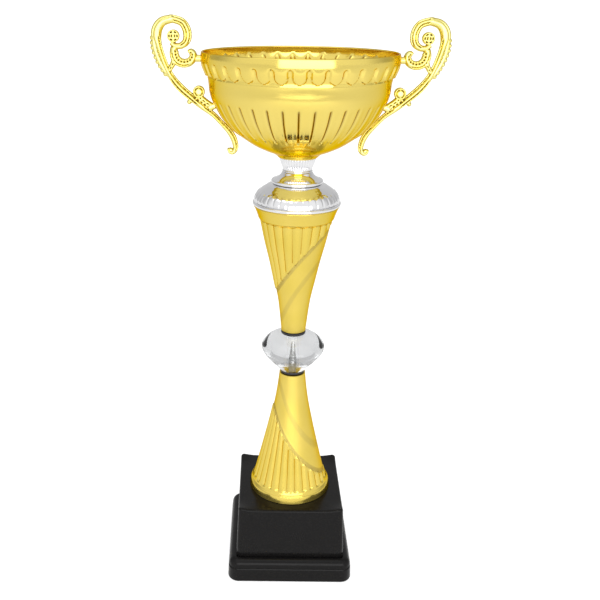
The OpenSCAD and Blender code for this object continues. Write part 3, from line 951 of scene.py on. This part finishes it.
def along(path, count, first, last, shift):
    """Evenly spaced places beside a path: shift is the share of its half width, to its left."""
    line = smooth(path, 12)
    ahead = headings(line)
    gaps = np.linalg.norm(np.diff(line[:, :2], axis=0), axis=1)
    share = np.r_[0, np.cumsum(gaps)] / gaps.sum()
    places = []
    for s in np.linspace(first, last, count):
        x, z, w, u, v = (np.interp(s, share, c) for c in
                         (line[:, 0], line[:, 1], line[:, 2], ahead[:, 0], ahead[:, 1]))
        places.append((x - v * shift * w / 2, z + u * shift * w / 2))
    return places


def merged(solids):
    """All points and all faces of the solids, as two lists."""
    faces, start = [], 0
    for points, own_faces in solids:
        faces += [[i + start for i in f] for f in own_faces]
        start += len(points)
    return np.vstack([points for points, _ in solids]), faces


def handle_solids():
    """All closed shapes that make the right handle; they overlap and are fused by a remesh."""
    t = HANDLE_T
    solids = [
        strap_solid(MAIN_STRAP, t, [(0.35, 0.5, 1.7, 0.05, 0.38, 0), (-0.42, 0.5, 1.8, 0.40, 0.63, 0),
                                    (0.55, 0.45, 1.7, 0.40, 0.86, 0), (-0.5, 0.5, 0.6, 0.80, 0.99, 0)]),
        strap_solid(TOP_SCROLL, t, [(-0.62, 0.4, 1.4, 0.03, 0.66, 0), (0.22, 0.4, 1.4, 0.06, 0.80, 0)]),
        strap_solid(LOWER_SCROLL, t, [(-0.45, 0.55, 1.6, 0.04, 0.97, 11),
                                      (0.4, 0.4, 1.3, 0.10, 0.60, 0)]),
        strap_solid(TAIL_LEAF, t * 0.8, [(0.0, 0.45, 1.2, 0.05, 0.9, 3)]),
        strap_solid(WALL_LEAF, t * 0.85, [(0.1, 0.45, 1.3, 0.05, 0.95, 4)]),
        strap_solid(OUTER_LEAF, t * 0.78),
        button_solid(88.7, 9.6, 4.2, t, [(3.0, 0.6, 1.5, 6), (1.1, 0.5, 1.1, 2)]),
        button_solid(71.6, -28.0, 4.2, t, [(2.7, 0.4, 1.3, 0)]),
        button_solid(49.3, -69.2, 1.7, t * 0.8),
    ]
    # Scallops on the leaf's outer edge, beads in the valley between leaf and strap, and beads
    # inside the lower scroll and on the leaf at the wall: path, count, first and last share,
    # shift, radius, share of the thickness
    rows = [(OUTER_LEAF, 9, 0.04, 0.92, 0.85, 1.6, 0.36),
            (OUTER_LEAF, 9, 0.10, 0.96, -1.05, 0.85, 0.45),
            (LOWER_SCROLL, 10, 0.10, 0.92, -0.9, 1.0, 0.40),
            (WALL_LEAF, 5, 0.05, 0.80, 0.85, 1.15, 0.42)]
    for path, count, first, last, shift, radius, thick in rows:
        for x, z in along(path, count, first, last, shift):
            solids.append(ball_solid(x, z, radius, t * thick))
    # The eyes of the lower scrolls, and a knob under the strap at the foot of the leaf
    eyes_and_knob = [(71.6, -28.0, 1.0, 0.5), (76.6, -2.6, 1.0, 0.5), (78.6, -35.2, 1.7, 0.40)]
    for x, z, radius, thick in eyes_and_knob:
        solids.append(ball_solid(x, z, radius, t * thick))
    # Bosses that the screws bite into, from the cup's wall to the scroll and the leaf
    boss = 4.8
    for below, tilt, length in SCREW_SEATS:
        x, z, direction = screw_axis(below, tilt)
        path = [(x + direction[0] * s, z + direction[1] * s, boss) for s in (-0.6, length / 2, length)]
        solids.append(strap_solid(path, boss))
    return solids


def hollows(mesh, co):
    """How far each vertex lies below a calmed copy of the surface, from 0 to 1 at 0.2 mm."""
    calming_rounds = 9
    pairs = np.zeros(len(mesh.edges) * 2, dtype=np.int32)
    mesh.edges.foreach_get("vertices", pairs)
    pairs = pairs.reshape(-1, 2)
    normals = np.zeros(len(co) * 3)
    mesh.vertex_normals.foreach_get("vector", normals)
    links = np.bincount(pairs.ravel(), minlength=len(co))[:, None]
    calm = co.copy()
    for _ in range(calming_rounds):
        total = np.zeros_like(calm)
        for axis in range(3):
            total[:, axis] += np.bincount(pairs[:, 0], calm[pairs[:, 1], axis], len(co))
            total[:, axis] += np.bincount(pairs[:, 1], calm[pairs[:, 0], axis], len(co))
        calm = total / np.maximum(links, 1)
    below = ((calm - co) * normals.reshape(-1, 3)).sum(1)
    return ramp(below, 0.04, 0.2)


def make_handles(finish):
    """Fuses the handle's shapes, beds the result on the cup, and mirrors it to the left."""
    points, faces = merged(handle_solids())
    points[:, 2] += RIM
    rough = build("handle_shapes", points, faces)
    fuse = rough.modifiers.new("fuse", "REMESH")
    fuse.mode = "VOXEL"
    fuse.voxel_size = 0.31 * MM
    soften = rough.modifiers.new("soften", "SMOOTH")
    soften.factor, soften.iterations = 0.5, 2
    done = rough.evaluated_get(bpy.context.evaluated_depsgraph_get())
    mesh = bpy.data.meshes.new_from_object(done)
    bpy.data.objects.remove(rough)
    co = np.zeros(len(mesh.vertices) * 3)
    mesh.vertices.foreach_get("co", co)
    co = co.reshape(-1, 3) / MM
    faces = [list(p.vertices) for p in mesh.polygons]
    # Painted shade: the casting's hollows are marked so that the finish darkens them to brown
    painted_hollow_shade = {"hollow": hollows(mesh, co)}
    # Nothing sinks into the cup: points inside its outside are moved out onto it
    side = cup_side()[::-1]
    wall = np.interp(co[:, 2], side[:, 1], side[:, 0])
    away = np.hypot(co[:, 0], co[:, 1])
    inside = (away < wall) & (co[:, 2] < RIM) & (co[:, 2] > CUP_FOOT)
    push = np.where(inside, wall / np.maximum(away, 1), 1.0)
    co[:, :2] *= push[:, None]
    co[:, 1] = np.clip(co[:, 1], -HANDLE_T / 2, HANDLE_T / 2)
    for name, sign in (("handle_right", 1), ("handle_left", -1)):
        flipped = co * np.array([sign, 1, 1])
        piece = build(name + "_casting", flipped, faces, painted_hollow_shade, corner=60)
        place(piece, [name], finish)


def make_screws(finish):
    """Four screws: a domed head with a cross slot inside the cup, and a shank into the handle."""
    head_r, head_h, shank_r, shank_l = 2.7, 1.6, 1.35, 6.0
    around = 48
    a = np.linspace(0, TAU, around, endpoint=False)
    outline = [(shank_r - 0.5, shank_l), (shank_r, shank_l - 0.7), (shank_r, -SHEET_T),
               (head_r, -SHEET_T), (head_r, -SHEET_T - 0.6)]
    outline += [(head_r * math.cos(b), -SHEET_T - 0.6 - (head_h - 0.6) * math.sin(b))
                for b in np.radians(np.linspace(10, 86, 14))]
    outline = np.array(outline)
    r, s = outline[:, :1], outline[:, 1:]
    across, level = r * np.cos(a), r * np.sin(a)
    slot = (np.minimum(np.abs(across), np.abs(level)) < 0.33) & (r < 1.7) & (s < -SHEET_T - 0.7)
    s = s + 0.7 * slot
    solids = []
    for sign in (-1, 1):
        faces = [f[::sign] for f in ring_faces(len(outline), around, False)]
        for below, tilt, _ in SCREW_SEATS:
            x, z, (out, up) = screw_axis(below, tilt)
            px = x + out * s - up * level
            pz = z + RIM + up * s + out * level
            solids.append((np.stack([sign * px, across, pz], -1).reshape(-1, 3), faces))
    screws = build("screws_in_cup", *merged(solids), corner=30)
    place(screws, ["handle_screws"], finish)


# ---------- the room

def make_room():
    """Pale floor and soft light. The camera sees plain white round the floor, but what falls on the
    trophy is dimmer from the sides and from behind."""
    size = 30000
    # Glow of the floor for every ray, and what the camera sees on top of that
    glow, camera_glow = 0.24, 0.36
    paper = Finish("paper", Roughness=0.95, Specular_IOR_Level=0.1, Emission_Color=(1, 1, 1, 1))
    paper.set("Base Color", paper.colors(paper.noise(3.0, 2.0), (0.3, (0.80, 0.80, 0.80)),
                                         (0.7, (0.82, 0.82, 0.82))))
    seen = paper.node("LightPath").outputs["Is Camera Ray"]
    paper.set("Emission Strength", paper.math("ADD", paper.math("MULTIPLY", seen, camera_glow), glow))
    floor = build("floor", [(-size, -size, 0), (size, -size, 0), (size, size, 0), (-size, size, 0)],
                  [(0, 1, 2, 3)])
    floor.data.materials.append(paper.made)

    world = bpy.data.worlds.new("white_tent")
    world.use_nodes = True
    tent = Nodes(world.node_tree)
    x, y, _ = tent.node("SeparateXYZ", tent.node("TexCoord").outputs["Generated"]).outputs
    turn = tent.math("ARCTAN2", x, tent.math("MULTIPLY", y, -1.0))
    share = tent.math("DIVIDE", tent.math("ABSOLUTE", turn), math.pi)
    # Share of a half turn from the front, and brightness there
    stops = [(0.0, 1.0), (0.28, 1.0), (0.42, 0.92), (0.52, 0.66),
             (0.60, 0.46), (0.72, 0.58), (1.0, 0.66)]
    tone = tent.colors(share, *((position, (level,) * 3) for position, level in stops))
    seen = tent.node("LightPath").outputs["Is Camera Ray"]
    light = tent.blend(seen, tone, (1.1, 1.1, 1.1, 1))
    tent.tree.links.new(light, tent.tree.nodes["Background"].inputs["Color"])
    bpy.context.scene.world = world

    def soft_box(name, at, target, width, height, power):
        light = bpy.data.lights.new(name, "AREA")
        light.shape = "RECTANGLE"
        light.size, light.size_y = width, height
        light.energy = power
        lamp = shown(name, light)
        lamp.location = at
        lamp.rotation_euler = (Vector(target) - Vector(at)).to_track_quat("-Z", "Y").to_euler()
        lamp.visible_camera = False

    soft_box("key_box", (0.08, -1.0, 0.42), (0.0, 0.0, 0.40), 1.15, 0.56, 4.4)
    soft_box("top_box", (-0.3, -0.3, 1.5), (0.0, 0.0, 0.3), 1.0, 1.0, 1.8)
    bpy.context.scene.view_settings.view_transform = "Standard"
    bpy.context.scene.view_settings.look = "None"


def make_camera():
    """Camera a little above the rim, looking down the stem, with a slight roll."""
    pitch, roll = math.radians(21), math.radians(0.6)
    forward = Vector((0, math.cos(pitch), -math.sin(pitch)))
    level = Vector((1, 0, 0))
    above = Vector((0, math.sin(pitch), math.cos(pitch)))
    right = level * math.cos(roll) + above * math.sin(roll)
    up = above * math.cos(roll) - level * math.sin(roll)
    data = bpy.data.cameras.new("camera")
    data.lens = 47.74
    data.sensor_width = 36
    data.shift_x = 0.063
    data.clip_start = 0.01
    camera = shown("camera", data)
    turned = Matrix((right, up, -forward)).transposed().to_4x4()
    camera.matrix_world = Matrix.Translation((-0.025, -0.5821, 0.454)) @ turned
    bpy.context.scene.camera = camera


# ---------- the pieces

RUBBER = black_rubber()
make_camera()
make_room()
make_cup()
steel, chrome, satin = zinc_steel(), bright_chrome(), satin_gold()
make_upper_cone(satin)
make_lower_cone(satin)
make_gasket("lower_gasket")
make_gasket("upper_gasket")
make_knop()
make_dome(chrome)
make_collar(chrome)
make_neck(chrome)
make_rod(steel)
make_nut("cup_nut", "bowl_nut", steel)
make_nut("plinth_nut", "base_nut", steel)
make_washer("cup_washer", "bowl_washer", steel)
make_washer("plinth_washer", "base_washer", steel)
make_plinth()
make_handles(cast_gold())
make_screws(screw_brass())

# CAD nodes that keep their own shape
for node, material in {
    "felt_sheet": felt(), "base_board": hardboard(), "ballast_block": ballast(),
    "lower_cone_disc": white_plastic(), "upper_cone_disc": white_plastic(),
}.items():
    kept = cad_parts[node]
    kept.data.materials.clear()
    kept.data.materials.append(material)
